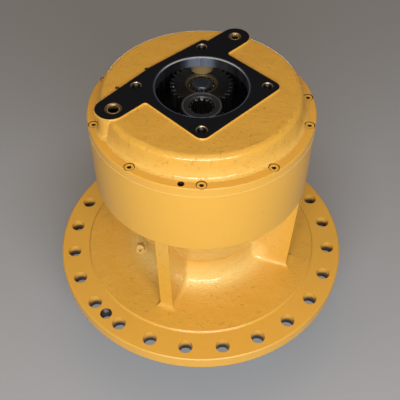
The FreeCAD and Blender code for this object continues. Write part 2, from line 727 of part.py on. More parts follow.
def cover():
    cuts = cover_inside()
    for centre in motor_bolt_centres():
        bottom = PAD_TOP - MOTOR_BOLT_DEPTH
        cuts.append(tapped_hole(MOTOR_BOLT_HOLE, bottom, PAD_TOP, centre, MOTOR_BOLT_CHAMFER))
    for centre, outer, inner in sleeve_sizes():
        cuts += sleeve_holes(centre, outer, inner)
    for angle in SCREW_ANGLES:
        centre = polar(SCREW_CIRCLE / 2, angle)
        head_hole = SCREW_HEAD_DIAMETER / 2 + SCREW_HEAD_ROOM
        cuts.append(cylinder(head_hole, screw_seat(), COVER_TOP, centre))
        cuts.append(drill(SCREW_DIAMETER + 2 * SCREW_PLAY, JOINT_HEIGHT, screw_seat(), centre))
    jack_centre = polar(SCREW_CIRCLE / 2, COVER_JACK_ANGLE)
    jack_bottom = JOINT_HEIGHT - OVERRUN
    cuts.append(tapped_hole(COVER_JACK_HOLE, jack_bottom, RIM_TOP, jack_centre, MOTOR_BOLT_CHAMFER))
    return cover_outside().cut(cuts)


def cover_screw(angle):
    centre = polar(SCREW_CIRCLE / 2, angle)
    seat = screw_seat()
    top = seat + SCREW_HEAD_HEIGHT
    screw = cylinder(SCREW_HEAD_DIAMETER / 2, seat, top, centre)
    screw = screw.fuse(cylinder(SCREW_DIAMETER / 2, seat - SCREW_LENGTH, seat, centre))
    return screw.cut(hexagon(SCREW_SOCKET, top - SCREW_SOCKET_DEPTH, top + OVERRUN, centre))


def sleeve(centre, outer, inner):
    top = PAD_TOP - SLEEVE_SINK
    return ring(outer / 2, inner / 2, top - SLEEVE_LENGTH, top, centre)


def ring_gear():
    teeth = prism(inner_teeth(RING_TEETH, MODULE), RING_BOTTOM - OVERRUN, RING_TOP + OVERRUN)
    gear = cylinder(RING_DIAMETER / 2, RING_BOTTOM, RING_TOP).cut(teeth)
    reach = RING_BOTTOM + RING_DOWEL_LENGTH / 2
    for centre in dowel_centres():
        gear = gear.cut(cylinder(RING_DOWEL_DIAMETER / 2, RING_BOTTOM - OVERRUN, reach, centre))
    return gear


def ring_dowel(centre):
    return cylinder(
        RING_DOWEL_DIAMETER / 2,
        RING_BOTTOM - RING_DOWEL_LENGTH / 2,
        RING_BOTTOM + RING_DOWEL_LENGTH / 2,
        centre,
    )


def joint_seal():
    inner = JOINT_SEAL_INNER / 2
    return ring(inner + JOINT_SEAL_WIDTH, inner, JOINT_HEIGHT - JOINT_SEAL_DEPTH, JOINT_HEIGHT)


def input_sun():
    """The motor-driven sun gear: teeth below, a plain collar above, a spline down its middle."""
    phase = sun_phase(PLANET_START, FIRST_SUN_TEETH, FIRST_PLANET_TEETH)
    teeth = prism(outer_teeth(FIRST_SUN_TEETH, MODULE, phase), SUN_BOTTOM, SUN_TEETH_TOP)
    radius = SUN_COLLAR_DIAMETER / 2
    shoulder = SUN_TOP - SUN_COLLAR_CHAMFER
    gear = teeth.fuse(cylinder(radius, SUN_TEETH_TOP, shoulder))
    gear = gear.fuse(cone(radius, radius - SUN_COLLAR_CHAMFER, shoulder, SUN_TOP))
    spline = inner_teeth(INPUT_SPLINE_TEETH, INPUT_SPLINE_MODULE, 0, SPLINE_ADDENDUM, SPLINE_DEDENDUM)
    mouth = SUN_MOUTH_DIAMETER / 2
    lead = cone(mouth - SUN_LEAD_CHAMFER, mouth, SUN_TOP - SUN_LEAD_CHAMFER, SUN_TOP)
    return gear.cut([prism(spline, SUN_BOTTOM - OVERRUN, SUN_TOP + OVERRUN), lead])


def planet_gear(angle, centres, teeth, bore, bottom, top):
    """A planet gear in mesh with the fixed ring gear at the given angle."""
    outline = outer_teeth(teeth, MODULE, planet_phase(angle, teeth))
    gear = prism(outline, bottom, top).cut(drill(bore, bottom, top))
    gear.translate(polar(centres, angle))
    return gear


def first_outer_race(angle):
    centre = polar(FIRST_CENTRES, angle)
    inner = first_roller_circle() / 2 + FIRST_ROLLER_DIAMETER / 2
    bottom = FIRST_PLANET_BOTTOM + FIRST_BEARING_INSET
    top = FIRST_PLANET_TOP - FIRST_BEARING_INSET
    return ring(FIRST_OUTER_RACE / 2, inner, bottom, top, centre)


def first_roller_circle():
    """Diameter of the circle through the rollers' centres, just clear of the inner race."""
    return FIRST_INNER_RACE + FIRST_ROLLER_DIAMETER + 2 * PLAY


def first_roller(angle, step):
    turn = 360.0 / FIRST_ROLLER_COUNT * step
    centre = polar(FIRST_CENTRES, angle) + polar(first_roller_circle() / 2, turn)
    corners = [
        centre + polar(FIRST_ROLLER_DIAMETER / 2, turn + 360.0 / ROLLER_SIDES * side)
        for side in range(ROLLER_SIDES)
    ]
    bottom = FIRST_PLANET_BOTTOM + 2 * FIRST_BEARING_INSET
    return prism(corners, bottom, FIRST_PLANET_TOP - 2 * FIRST_BEARING_INSET)


def first_planet_rollers(angle):
    return [first_roller(angle, step) for step in range(FIRST_ROLLER_COUNT)]


def first_carrier():
    """Plate that carries the three first-stage pins; its bore is toothed for the second sun."""
    plate = cylinder(FIRST_CARRIER_DIAMETER / 2, FIRST_CARRIER_BOTTOM, FIRST_CARRIER_TOP)
    phase = sun_phase(PLANET_START, SECOND_SUN_TEETH, SECOND_PLANET_TEETH)
    tip_room = ADDENDUM + SUN_HOLD_ROOM
    root_room = DEDENDUM - SUN_HOLD_ROOM
    bore = outer_teeth(SECOND_SUN_TEETH, MODULE, phase, tip_room, root_room, FLANK_PLAY - PLAY)
    groove_bottom = FIRST_CARRIER_TOP - SUN_RING_TOP_GAP - SUN_RING_THICKNESS
    cuts = [
        prism(bore, FIRST_CARRIER_BOTTOM - OVERRUN, FIRST_CARRIER_TOP + OVERRUN),
        cylinder(SUN_RING_OUTER / 2, groove_bottom, FIRST_CARRIER_TOP + OVERRUN),
    ]
    for angle in PLANET_ANGLES:
        centre = polar(FIRST_CENTRES, angle)
        cuts.append(drill(FIRST_PIN_DIAMETER, FIRST_CARRIER_BOTTOM, FIRST_CARRIER_TOP, centre))
        gap_centre = polar(FIRST_CENTRES, angle + 180.0 / PLANET_COUNT)
        cuts.append(drill(CARRIER_WINDOW, FIRST_CARRIER_BOTTOM, FIRST_CARRIER_TOP, gap_centre))
    return plate.cut(cuts)


def first_pin(angle):
    centre = polar(FIRST_CENTRES, angle)
    radius = FIRST_PIN_DIAMETER / 2
    shoulder = FIRST_PIN_TOP - FIRST_PIN_CHAMFER
    pin = cylinder(radius, FIRST_CARRIER_BOTTOM, shoulder, centre)
    tip = cone(radius, radius - FIRST_PIN_CHAMFER, shoulder, FIRST_PIN_TOP, centre)
    return pin.fuse(tip)


def first_inner_race(angle):
    bottom = FIRST_CARRIER_TOP + WASHER_THICKNESS
    top = FIRST_PLANET_TOP
    return ring(FIRST_INNER_RACE / 2, FIRST_PIN_DIAMETER / 2, bottom, top, polar(FIRST_CENTRES, angle))


def washer(centre, inner, bottom):
    return ring(WASHER_OUTER / 2, inner / 2, bottom, bottom + WASHER_THICKNESS, centre)


def second_sun():
    """Long sun gear: its lower teeth drive the second planets, its upper end sits in the carrier."""
    phase = sun_phase(PLANET_START, SECOND_SUN_TEETH, SECOND_PLANET_TEETH)
    gear = prism(outer_teeth(SECOND_SUN_TEETH, MODULE, phase), SECOND_SUN_BOTTOM, SECOND_SUN_TOP)
    cuts = [drill(SECOND_SUN_BORE, SECOND_SUN_BOTTOM, SECOND_SUN_TOP)]
    for top in sun_ring_tops():
        bottom = top - SUN_RING_THICKNESS
        cuts.append(ring(SUN_RING_OUTER / 2 + OVERRUN, SUN_RING_GROOVE / 2, bottom, top))
    return gear.cut(cuts)


def sun_ring_tops():
    """Upper faces of the two rings that hold the second sun in the first carrier."""
    return [FIRST_CARRIER_BOTTOM, FIRST_CARRIER_TOP - SUN_RING_TOP_GAP]


def sun_ring(top):
    return ring(SUN_RING_OUTER / 2 - PLAY, SUN_RING_GROOVE / 2, top - SUN_RING_THICKNESS, top)


def thrust_button():
    """Hardened button in the second sun's bore that the input sun runs on."""
    head = cylinder(THRUST_BUTTON_DIAMETER / 2, SECOND_SUN_TOP, SUN_BOTTOM - THRUST_BUTTON_GAP)
    stem_bottom = SECOND_SUN_TOP - THRUST_BUTTON_STEM
    return head.fuse(cylinder(SECOND_SUN_BORE / 2, stem_bottom, SECOND_SUN_TOP))


def second_carrier():
    """Cage of two plates and three columns, with the splined hub that turns the shaft."""
    body = cylinder(SECOND_CARRIER_DIAMETER / 2, SECOND_CARRIER_BOTTOM, SECOND_CARRIER_FLOOR)
    body = body.fuse(cylinder(SECOND_CARRIER_DIAMETER / 2, SECOND_CARRIER_CEILING, SECOND_CARRIER_TOP))
    body = body.fuse(cylinder(SECOND_CARRIER_HUB / 2, UPPER_BEARING_TOP, SECOND_CARRIER_FLOOR))
    for angle in PLANET_ANGLES:
        centre = polar(SECOND_COLUMN_CIRCLE / 2, angle + 180.0 / PLANET_COUNT)
        radius = SECOND_COLUMN_DIAMETER / 2
        body = body.fuse(cylinder(radius, SECOND_CARRIER_FLOOR, SECOND_CARRIER_CEILING, centre))
    spline = inner_teeth(OUTPUT_SPLINE_TEETH, MODULE, 0, SPLINE_ADDENDUM, SPLINE_DEDENDUM, PLAY / 2)
    cuts = [
        prism(spline, UPPER_BEARING_TOP - OVERRUN, SECOND_CARRIER_FLOOR + OVERRUN),
        drill(SECOND_CARRIER_HOLE, SECOND_CARRIER_CEILING, SECOND_CARRIER_TOP),
        cylinder(SHAFT_RING_OUTER / 2, shaft_ring_bottom(), SECOND_CARRIER_FLOOR + OVERRUN),
    ]
    for angle in PLANET_ANGLES:
        centre = polar(SECOND_CENTRES, angle)
        cuts.append(drill(SECOND_PIN_DIAMETER, SECOND_CARRIER_BOTTOM, SECOND_CARRIER_TOP, centre))
    return body.cut(cuts)


def second_pin(angle):
    centre = polar(SECOND_CENTRES, angle)
    return cylinder(SECOND_PIN_DIAMETER / 2, SECOND_CARRIER_BOTTOM, SECOND_CARRIER_TOP, centre)


def second_bearing(angle):
    """Needle bearing in a second-stage planet, running on its pin."""
    centre = polar(SECOND_CENTRES, angle)
    bore = SECOND_PIN_DIAMETER / 2 + PLAY
    return ring(SECOND_BEARING_DIAMETER / 2, bore, SECOND_PLANET_BOTTOM, SECOND_PLANET_TOP, centre)


def shaft_ring_bottom():
    return OUTPUT_SPLINE_TOP - SHAFT_RING_THICKNESS - SHAFT_RING_TOP_ROOM


def pinion_shaft():
    """Output shaft: pinion below, seal collar, two bearing seats and the carrier's spline."""
    tip = PINION_MODULE * (PINION_TEETH / 2 + ADDENDUM)
    teeth = prism(outer_teeth(PINION_TEETH, PINION_MODULE), PINION_BOTTOM, PINION_TOP)
    blank = turned([
        (0, PINION_BOTTOM, 0),
        (tip - PINION_CHAMFER, PINION_BOTTOM, 0),
        (tip + OVERRUN, PINION_BOTTOM + PINION_CHAMFER + OVERRUN, 0),
        (tip + OVERRUN, PINION_TOP - PINION_CHAMFER - OVERRUN, 0),
        (tip - PINION_CHAMFER, PINION_TOP, 0),
        (0, PINION_TOP, 0),
    ])
    spline_root = MODULE * (OUTPUT_SPLINE_TEETH / 2 - SPLINE_DEDENDUM)
    collar = SEAL_COLLAR_DIAMETER / 2
    lower_seat = LOWER_BEARING_BORE / 2
    upper_seat = UPPER_BEARING_BORE / 2
    core = turned([
        (0, PINION_TOP - OVERRUN, 0),
        (collar - COLLAR_CHAMFER, PINION_TOP - OVERRUN, 0),
        (collar, PINION_TOP + COLLAR_CHAMFER, 0),
        (collar, SEAL_COLLAR_TOP, 0),
        (lower_seat, SEAL_COLLAR_TOP, 0),
        (lower_seat, LOWER_BEARING_TOP, 0),
        (SHAFT_WAIST_DIAMETER / 2, LOWER_BEARING_TOP + COLLAR_CHAMFER, 0),
        (SHAFT_WAIST_DIAMETER / 2, UPPER_BEARING_BOTTOM, 0),
        (upper_seat, UPPER_BEARING_BOTTOM, 0),
        (upper_seat, UPPER_BEARING_TOP, 0),
        (spline_root, UPPER_BEARING_TOP, 0),
        (spline_root, OUTPUT_SPLINE_TOP, 0),
        (0, OUTPUT_SPLINE_TOP, 0),
    ])
    outline = outer_teeth(OUTPUT_SPLINE_TEETH, MODULE, 0, SPLINE_ADDENDUM, SPLINE_DEDENDUM, PLAY / 2)
    spline = prism(outline, UPPER_BEARING_TOP, OUTPUT_SPLINE_TOP)
    shaft = teeth.common(blank).fuse([core, spline])
    bottom = shaft_ring_bottom()
    groove = ring(SHAFT_RING_OUTER / 2, SHAFT_RING_GROOVE / 2, bottom, bottom + SHAFT_RING_THICKNESS)
    hole = CENTRE_HOLE_DIAMETER / 2
    centre_hole = cylinder(hole, PINION_BOTTOM - OVERRUN, PINION_BOTTOM + CENTRE_HOLE_DEPTH)
    mouth = cone(2 * hole, hole, PINION_BOTTOM, PINION_BOTTOM + hole)
    return shaft.cut([groove, centre_hole, mouth])


def shaft_ring():
    bottom = shaft_ring_bottom()
    outer = SHAFT_RING_OUTER / 2 - PLAY
    return ring(outer, SHAFT_RING_GROOVE / 2, bottom, bottom + SHAFT_RING_THICKNESS)


def taper_bearing(bore, outer, bottom, width, roller, tilt):
    """Outer race, inner race and rollers; a positive tilt leans the rollers outwards at the top."""
    top = bottom + width
    middle = (bottom + top) / 2
    centre = (bore + outer) / 4
    slope = math.tan(math.radians(tilt))
    across = (roller / 2 + PLAY) / math.cos(math.radians(tilt))
    inner_race = turned([
        (bore / 2, bottom, 0),
        (centre - across - slope * width / 2, bottom, 0),
        (centre - across + slope * width / 2, top, 0),
        (bore / 2, top, 0),
    ])
    outer_race = turned([
        (centre + across - slope * width / 2, bottom, 0),
        (outer / 2, bottom, 0),
        (outer / 2, top, 0),
        (centre + across + slope * width / 2, top, 0),
    ])
    length = width - 2 * ROLLER_END_GAP
    corners = [polar(roller / 2, 360.0 / ROLLER_SIDES * side) for side in range(ROLLER_SIDES)]
    rollers = []
    for step in range(ROLLER_COUNT):
        body = prism(corners, -length / 2, length / 2)
        body.rotate(Vector(0, 0, 0), Vector(0, 1, 0), tilt)
        body.translate(Vector(centre, 0, middle))
        body.rotate(Vector(0, 0, 0), Vector(0, 0, 1), 360.0 / ROLLER_COUNT * step)
        rollers.append(body)
    return outer_race, inner_race, rollers


def bearing_retainer():
    """Snap ring in the housing's groove, under the lower bearing's outer race."""
    seat = LOWER_BEARING_DIAMETER / 2
    top = SEAL_COLLAR_TOP - SNAP_RING_GAP
    return ring(seat + SNAP_RING_DEPTH, seat - SNAP_RING_REACH, top - SNAP_RING_THICKNESS, top)


def shaft_seal():
    """Lip seal pressed into the hub, with its lip on the shaft's collar."""
    seat = LOWER_BEARING_DIAMETER / 2
    lip = SEAL_COLLAR_DIAMETER / 2 + PLAY
    bottom = -HUB_HEIGHT + SEAL_SINK
    top = bottom + SEAL_HEIGHT
    return turned([
        (seat - SEAL_WALL, bottom, 0),
        (seat, bottom, 0),
        (seat, top, 0),
        (lip + SEAL_WALL, top, 0),
        (lip, top - SEAL_LIP_HEIGHT / 2, 0),
        (lip + SEAL_WALL, top - SEAL_LIP_HEIGHT, 0),
        (seat - SEAL_WALL, top - SEAL_LIP_HEIGHT, 0),
    ])


def build():
    os.makedirs("parts", exist_ok=True)
    write("housing", housing())
    write("neck_port_plug", port_plug())
    write("cover", cover())
    write("cover_screws", *[cover_screw(angle) for angle in SCREW_ANGLES])
    write("cover_seal", joint_seal())
    left, right = ear_centres()
    write("left_dowel_sleeve", sleeve(left, LEFT_SLEEVE_OUTER, LEFT_SLEEVE_INNER))
    write("right_dowel_sleeve", sleeve(right, RIGHT_SLEEVE_OUTER, RIGHT_SLEEVE_INNER))
    write("ring_gear", ring_gear())
    write("ring_gear_dowels", *[ring_dowel(centre) for centre in dowel_centres()])
    write("input_sun_gear", input_sun())
    write("first_carrier", first_carrier())
    write("first_planet_pins", *[first_pin(angle) for angle in PLANET_ANGLES])
    write("first_planet_inner_races", *[first_inner_race(angle) for angle in PLANET_ANGLES])
    first_washers = [
        washer(polar(FIRST_CENTRES, angle), FIRST_PIN_DIAMETER, FIRST_CARRIER_TOP)
        for angle in PLANET_ANGLES
    ]
    write("first_thrust_washers", *first_washers)
    write("second_sun_gear", second_sun())
    write("second_sun_retaining_rings", *[sun_ring(top) for top in sun_ring_tops()])
    write("input_thrust_button", thrust_button())
    write("second_carrier", second_carrier())
    write("second_planet_pins", *[second_pin(angle) for angle in PLANET_ANGLES])
    second_washers = [
        washer(polar(SECOND_CENTRES, angle), SECOND_PIN_DIAMETER, bottom)
        for angle in PLANET_ANGLES
        for bottom in (SECOND_CARRIER_FLOOR, SECOND_CARRIER_CEILING - WASHER_THICKNESS)
    ]
    write("second_thrust_washers", *second_washers)
    for number, angle in enumerate(PLANET_ANGLES, 1):
        planet = planet_gear(
            angle, FIRST_CENTRES, FIRST_PLANET_TEETH, FIRST_OUTER_RACE, FIRST_PLANET_BOTTOM,
            FIRST_PLANET_TOP,
        )
        write("first_planet_gear_%d" % number, planet)
        write("first_planet_outer_race_%d" % number, first_outer_race(angle))
        write("first_planet_rollers_%d" % number, *first_planet_rollers(angle))
        planet = planet_gear(
            angle, SECOND_CENTRES, SECOND_PLANET_TEETH, SECOND_BEARING_DIAMETER, SECOND_PLANET_BOTTOM,
            SECOND_PLANET_TOP,
        )
        write("second_planet_gear_%d" % number, planet)
        write("second_planet_bearing_%d" % number, second_bearing(angle))
    write("output_pinion_shaft", pinion_shaft())
    write("shaft_retaining_ring", shaft_ring())
    outer_race, inner_race, rollers = taper_bearing(
        UPPER_BEARING_BORE, UPPER_BEARING_DIAMETER, UPPER_BEARING_BOTTOM, UPPER_BEARING_WIDTH,
        UPPER_ROLLER_DIAMETER, ROLLER_TILT,
    )
    write("upper_bearing_outer_race", outer_race)
    write("upper_bearing_inner_race", inner_race)
    write("upper_bearing_rollers", *rollers)
    outer_race, inner_race, rollers = taper_bearing(
        LOWER_BEARING_BORE, LOWER_BEARING_DIAMETER, SEAL_COLLAR_TOP, LOWER_BEARING_WIDTH,
        LOWER_ROLLER_DIAMETER, -ROLLER_TILT,
    )
    write("lower_bearing_outer_race", outer_race)
    write("lower_bearing_inner_race", inner_race)
    write("lower_bearing_rollers", *rollers)
    write("lower_bearing_retaining_ring", bearing_retainer())
    write("shaft_seal", shaft_seal())


build()
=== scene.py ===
import math

import bpy
from mathutils import Matrix, Vector


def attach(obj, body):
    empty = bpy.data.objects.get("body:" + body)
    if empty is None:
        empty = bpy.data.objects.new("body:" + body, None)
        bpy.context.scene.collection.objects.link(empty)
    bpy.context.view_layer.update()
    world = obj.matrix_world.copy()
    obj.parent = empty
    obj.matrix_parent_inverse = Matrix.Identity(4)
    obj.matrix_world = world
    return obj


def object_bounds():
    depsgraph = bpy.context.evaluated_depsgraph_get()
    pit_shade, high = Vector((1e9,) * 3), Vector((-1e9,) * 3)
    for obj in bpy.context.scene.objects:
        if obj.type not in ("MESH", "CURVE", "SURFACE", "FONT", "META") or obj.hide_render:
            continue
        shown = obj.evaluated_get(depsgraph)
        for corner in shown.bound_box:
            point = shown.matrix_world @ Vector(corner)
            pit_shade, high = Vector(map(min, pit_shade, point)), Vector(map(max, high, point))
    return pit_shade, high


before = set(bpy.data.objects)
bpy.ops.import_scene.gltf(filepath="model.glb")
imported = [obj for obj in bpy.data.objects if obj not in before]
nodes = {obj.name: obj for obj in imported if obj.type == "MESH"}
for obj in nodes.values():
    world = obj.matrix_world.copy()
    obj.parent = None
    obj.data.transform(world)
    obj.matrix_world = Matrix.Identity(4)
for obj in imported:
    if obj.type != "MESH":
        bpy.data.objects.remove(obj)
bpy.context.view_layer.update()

# Housing: one iron casting with the round frame flange at its foot, four ribs up the neck and the
# drum that holds the gears. Drum and flange ring are turned, the rest is as cast, and all of it is
# sprayed with yellow enamel except the seat under the flange and the jacking screw's thread.
YELLOW = (0.70, 0.372, 0.054)
YELLOW_DEEP = (0.60, 0.275, 0.026)
YELLOW_HIGHLIGHT = (0.86, 0.62, 0.22)
SPECK_BROWN = (0.10, 0.06, 0.02)
CAST_DEPTH = 0.0015
PIT_GRAIN = 0.0026
PIT_SHARE = 0.42
WRINKLE_GRAIN = 0.0075
WRINKLE_SHARE = 0.42
WRINKLE_STRETCH = (0.55, 1.0, 1.0)
DENT_GRAIN = 0.0070
DENT_SHARE = 0.36
DENT_EDGE = (0.61, 0.69)
SPRAY_GRAIN = 0.0014
SPRAY_SHARE = 0.05
PATCH_GRAIN = 0.035
PATCH_EDGE = (0.35, 0.62)
PATCH_CALM = 0.3
CLOUD_GRAIN = 0.11
CLOUD_SHARE = 0.25
PIT_SHADE_EDGE = (0.50, 0.32)
PIT_SHADE_SHARE = 0.30
PALE_PITS = 0.6
PALE_SHARE = 0.25
SPECK_SPACING = 0.016
SPECK_EDGE = (0.045, 0.025)
SPECK_SHARE = 0.7
TURNED_ROUGHNESS = 0.32
CAST_ROUGHNESS = 0.19
CLOUD_ROUGHNESS = 0.06
EDGE_ROUNDING = 0.0012
SHARP_BEND = (0.995, 0.90)
FLANGE_RING_RADIUS = 0.1978
DRUM_BOTTOM = 0.1982
NECK_EDGE = (0.160, 0.128)
NECK_GRAIN_AND_HIGHLIGHT = 0.3
FOOT_EDGE = (0.136, 0.114)
FOOT_TOP = (0.080, 0.052)
BOLT_CIRCLE = 0.223
BOLT_COUNT = 24
BOLT_START = 8.9
BOLT_HOLE_REACH = 0.0113
JACK_HOLE = (-0.15378, -0.16149)
JACK_HOLE_RADIUS = 0.0096
FLANGE_TOP = 0.023
FACE_MARGIN = 0.0002
HOLE_SHADE_DEPTHS = (0.019, 0.007)
HOLE_SHADE_WOBBLE = 0.004
HOLE_SHADE_WOBBLE_GRAIN = 0.012
HOLE_SHADE_BROWN = (0.055, 0.033, 0.016)
BARE_STEEL = (0.11, 0.10, 0.09)
BARE_ROUGHNESS = 0.30
BARE_STAINS = 0.16
BARE_STAIN_GRAIN = 0.02
THREAD_PITCH = 0.0025
THREAD_SHARE = 0.3
TURNING_PITCH = 0.0009
TURNING_SHARE = 0.008
CAST_GLOSS = 0.42
TURNED_GLOSS = 0.05
GLOSSY = {"Specular_IOR_Level": 0.4, "Coat_Roughness": 0.13}


class Field:
    """One output of a material's node tree. Sums and products of fields add the maths nodes."""

    def __init__(self, finish, socket):
        self.finish = finish
        self.socket = socket

    def __add__(self, other):
        return self.finish.maths("ADD", self, other)

    def __sub__(self, other):
        return self.finish.maths("SUBTRACT", self, other)

    def __mul__(self, other):
        return self.finish.maths("MULTIPLY", self, other)

    def __truediv__(self, other):
        return self.finish.maths("DIVIDE", self, other)

    def __pow__(self, other):
        return self.finish.maths("POWER", self, other)

    def __gt__(self, other):
        return self.finish.maths("GREATER_THAN", self, other)

    def __lt__(self, other):
        return self.finish.maths("LESS_THAN", self, other)

    def __or__(self, other):
        return self.finish.maths("MAXIMUM", self, other)

    def __rsub__(self, other):
        return self.finish.maths("SUBTRACT", other, self)

    __radd__ = __add__
    __rmul__ = __mul__


class Finish:
    """A material in the making, with the piece's own coordinates in metres."""

    def __init__(self, name, **shader):
        self.material = bpy.data.materials.new(name)
        self.material.use_nodes = True
        self.tree = self.material.node_tree
        self.shader = self.tree.nodes["Principled BSDF"]
        for socket, value in shader.items():
            self.set(socket.replace("_", " "), value)
        self.place = self.node("TexCoord", {}, {}, "Object")
        self.x, self.y, self.z = (
            self.node("SeparateXYZ", {}, {"Vector": self.place}, axis) for axis in "XYZ"
        )
        self.radius = (self.x * self.x + self.y * self.y) ** 0.5

    def join(self, socket, value):
        if isinstance(value, Field):
            self.tree.links.new(value.socket, socket)
        elif hasattr(socket.default_value, "__len__") and len(socket.default_value) == 4:
            socket.default_value = (*value, 1.0)
        else:
            socket.default_value = value

    def set(self, socket, value):
        self.join(self.shader.inputs[socket], value)

    def node(self, kind, settings, sockets, output=0):
        """Adds a node: its settings first, then the values or links of its sockets."""
        node = self.tree.nodes.new("ShaderNode" + kind)
        for name, value in settings.items():
            setattr(node, name, value)
        for name, value in sockets.items():
            self.join(node.inputs[name], value)
        return Field(self, node.outputs[output])

    def maths(self, operation, *values):
        return self.node("Math", {"operation": operation}, dict(enumerate(values)))

    def vector(self, operation, *values, output=0):
        return self.node("VectorMath", {"operation": operation}, dict(enumerate(values)), output)

    def noise(self, grain, detail=2.0, roughness=0.5, place=None):
        """Cloudy noise from 0 to 1 whose patches are about one grain across."""
        sockets = {"Vector": place or self.place, "Scale": 1.0 / grain, "Detail": detail}
        sockets["Roughness"] = roughness
        return self.node("TexNoise", {}, sockets)

    def fade(self, value, start, end):
        """0 before start and 1 after end, with a straight ramp between them."""
        sockets = {"Value": value, "From Min": start, "From Max": end}
        return self.node("MapRange", {"clamp": True}, sockets)

    def mix(self, factor, first, second):
        sockets = {0: factor, 6: first, 7: second}
        return self.node("Mix", {"data_type": "RGBA"}, sockets, 2)

    def near(self, points, reach):
        """1 inside upright cylinders of the given reach round the (x, y) points."""
        inside = 0.0
        for x, y in points:
            away = (self.x - x) * (self.x - x) + (self.y - y) * (self.y - y)
            inside = (away < reach * reach) + inside
        return inside

    def near_ring(self, circle, count, start, reach):
        """1 inside upright cylinders that stand evenly spaced on a circle round the Z axis."""
        turn = self.maths("ARCTAN2", self.y, self.x) - math.radians(start)
        aside = self.maths("PINGPONG", turn, math.pi / count)
        across = self.maths("COSINE", aside) * self.radius * (2 * circle)
        return self.radius * self.radius - across + circle * circle < reach * reach

    def bevel(self, radius):
        return self.node("Bevel", {"samples": 4}, {"Radius": radius})

    def edges(self, width):
        """1 on the sharp edges, fading out over about the given width."""
        flat = self.node("NewGeometry", {}, {}, "Normal")
        bend = self.vector("DOT_PRODUCT", self.bevel(width), flat, output="Value")
        return self.fade(bend, *SHARP_BEND)

    def relief(self, height, depth, rounding=EDGE_ROUNDING):
        """Raises the surface by height times depth, over edges that are rounded off a little."""
        sockets = {"Height": height, "Distance": depth, "Normal": self.bevel(rounding)}
        bump = self.node("Bump", {}, sockets)
        self.set("Normal", bump)
        return bump

    def lay_over(self, factor, **shader):
        """Lays another shader over what the surface has, where the factor is 1."""
        sockets = {socket.replace("_", " "): value for socket, value in shader.items()}
        upper = self.node("BsdfPrincipled", {}, sockets)
        surface = self.tree.nodes["Material Output"].inputs["Surface"]
        lower = Field(self, surface.links[0].from_socket)
        self.join(surface, self.node("MixShader", {}, {0: factor, 1: lower, 2: upper}))

    def dress(self, *names):
        for name in names:
            mesh = nodes[name].data
            mesh.materials.clear()
            mesh.materials.append(self.material)


def enamel(finish, turned, grain_and_highlight):
    """Colour, roughness and height of the yellow enamel; turned is 1 where the iron is machined.
    Where hollow is above 0 the cast skin is coarser and the paint paler; the paler paint is a
    painted highlight."""
    cast = 1.0 - turned
    pits = finish.noise(PIT_GRAIN, 3.0, 0.55)
    along = finish.vector("MULTIPLY", finish.place, WRINKLE_STRETCH)
    wrinkles = finish.noise(WRINKLE_GRAIN, 3.0, 0.62, along)
    spray = finish.noise(SPRAY_GRAIN, 1.0)
    clouds = finish.noise(CLOUD_GRAIN)
    patches = finish.fade(finish.noise(PATCH_GRAIN), *PATCH_EDGE)
    patches = patches * (1.0 - PATCH_CALM) + PATCH_CALM
    dents = finish.fade(finish.noise(DENT_GRAIN, 4.0, 0.7), *DENT_EDGE) * -DENT_SHARE
    bumps = (pits * PIT_SHARE + wrinkles * WRINKLE_SHARE) * (patches + grain_and_highlight) + dents
    height = cast * bumps + turned * spray * SPRAY_SHARE
    # Painted shade: the low points of the pits are darkened towards the deeper yellow, on top of the
    # random clouds.
    pit_shade = finish.fade(pits, *PIT_SHADE_EDGE) * cast
    colour = finish.mix(clouds * CLOUD_SHARE + pit_shade * PIT_SHADE_SHARE, YELLOW, YELLOW_DEEP)
    # Painted highlight: where hollow is above 0 the cast enamel is mixed towards a pale yellow that
    # stands in for glossy highlights.
    pale = grain_and_highlight * cast * (pits * PALE_PITS + PALE_SHARE)
    colour = finish.mix(pale, colour, YELLOW_HIGHLIGHT)
    cell = finish.node("TexVoronoi", {}, {"Vector": finish.place, "Scale": 1.0 / SPECK_SPACING})
    colour = finish.mix(finish.fade(cell, *SPECK_EDGE) * SPECK_SHARE, colour, SPECK_BROWN)
    roughness = TURNED_ROUGHNESS - cast * (TURNED_ROUGHNESS - CAST_ROUGHNESS)
    return colour, roughness + clouds * CLOUD_ROUGHNESS, height


def bare_iron(finish):
    """Roughness and height of a turned face left bare, with the tool's fine rings."""
    rings = finish.maths("SINE", (finish.radius + finish.z) * (2 * math.pi / TURNING_PITCH))
    return BARE_ROUGHNESS + finish.noise(BARE_STAIN_GRAIN) * BARE_STAINS, rings * TURNING_SHARE


housing = Finish("housing_enamel", **GLOSSY)
on_ring = housing.radius > FLANGE_RING_RADIUS
on_drum = housing.z > DRUM_BOTTOM
# Painted highlight: round the neck and its foot the enamel is paler, standing in for the highlights
# there; the cast skin is also coarser.
neck = housing.fade(housing.radius, *NECK_EDGE) * NECK_GRAIN_AND_HIGHLIGHT
neck_foot = housing.fade(housing.radius, *FOOT_EDGE) * housing.fade(housing.z, *FOOT_TOP)
turned = on_ring | on_drum
colour, roughness, height = enamel(housing, turned, neck | neck_foot)
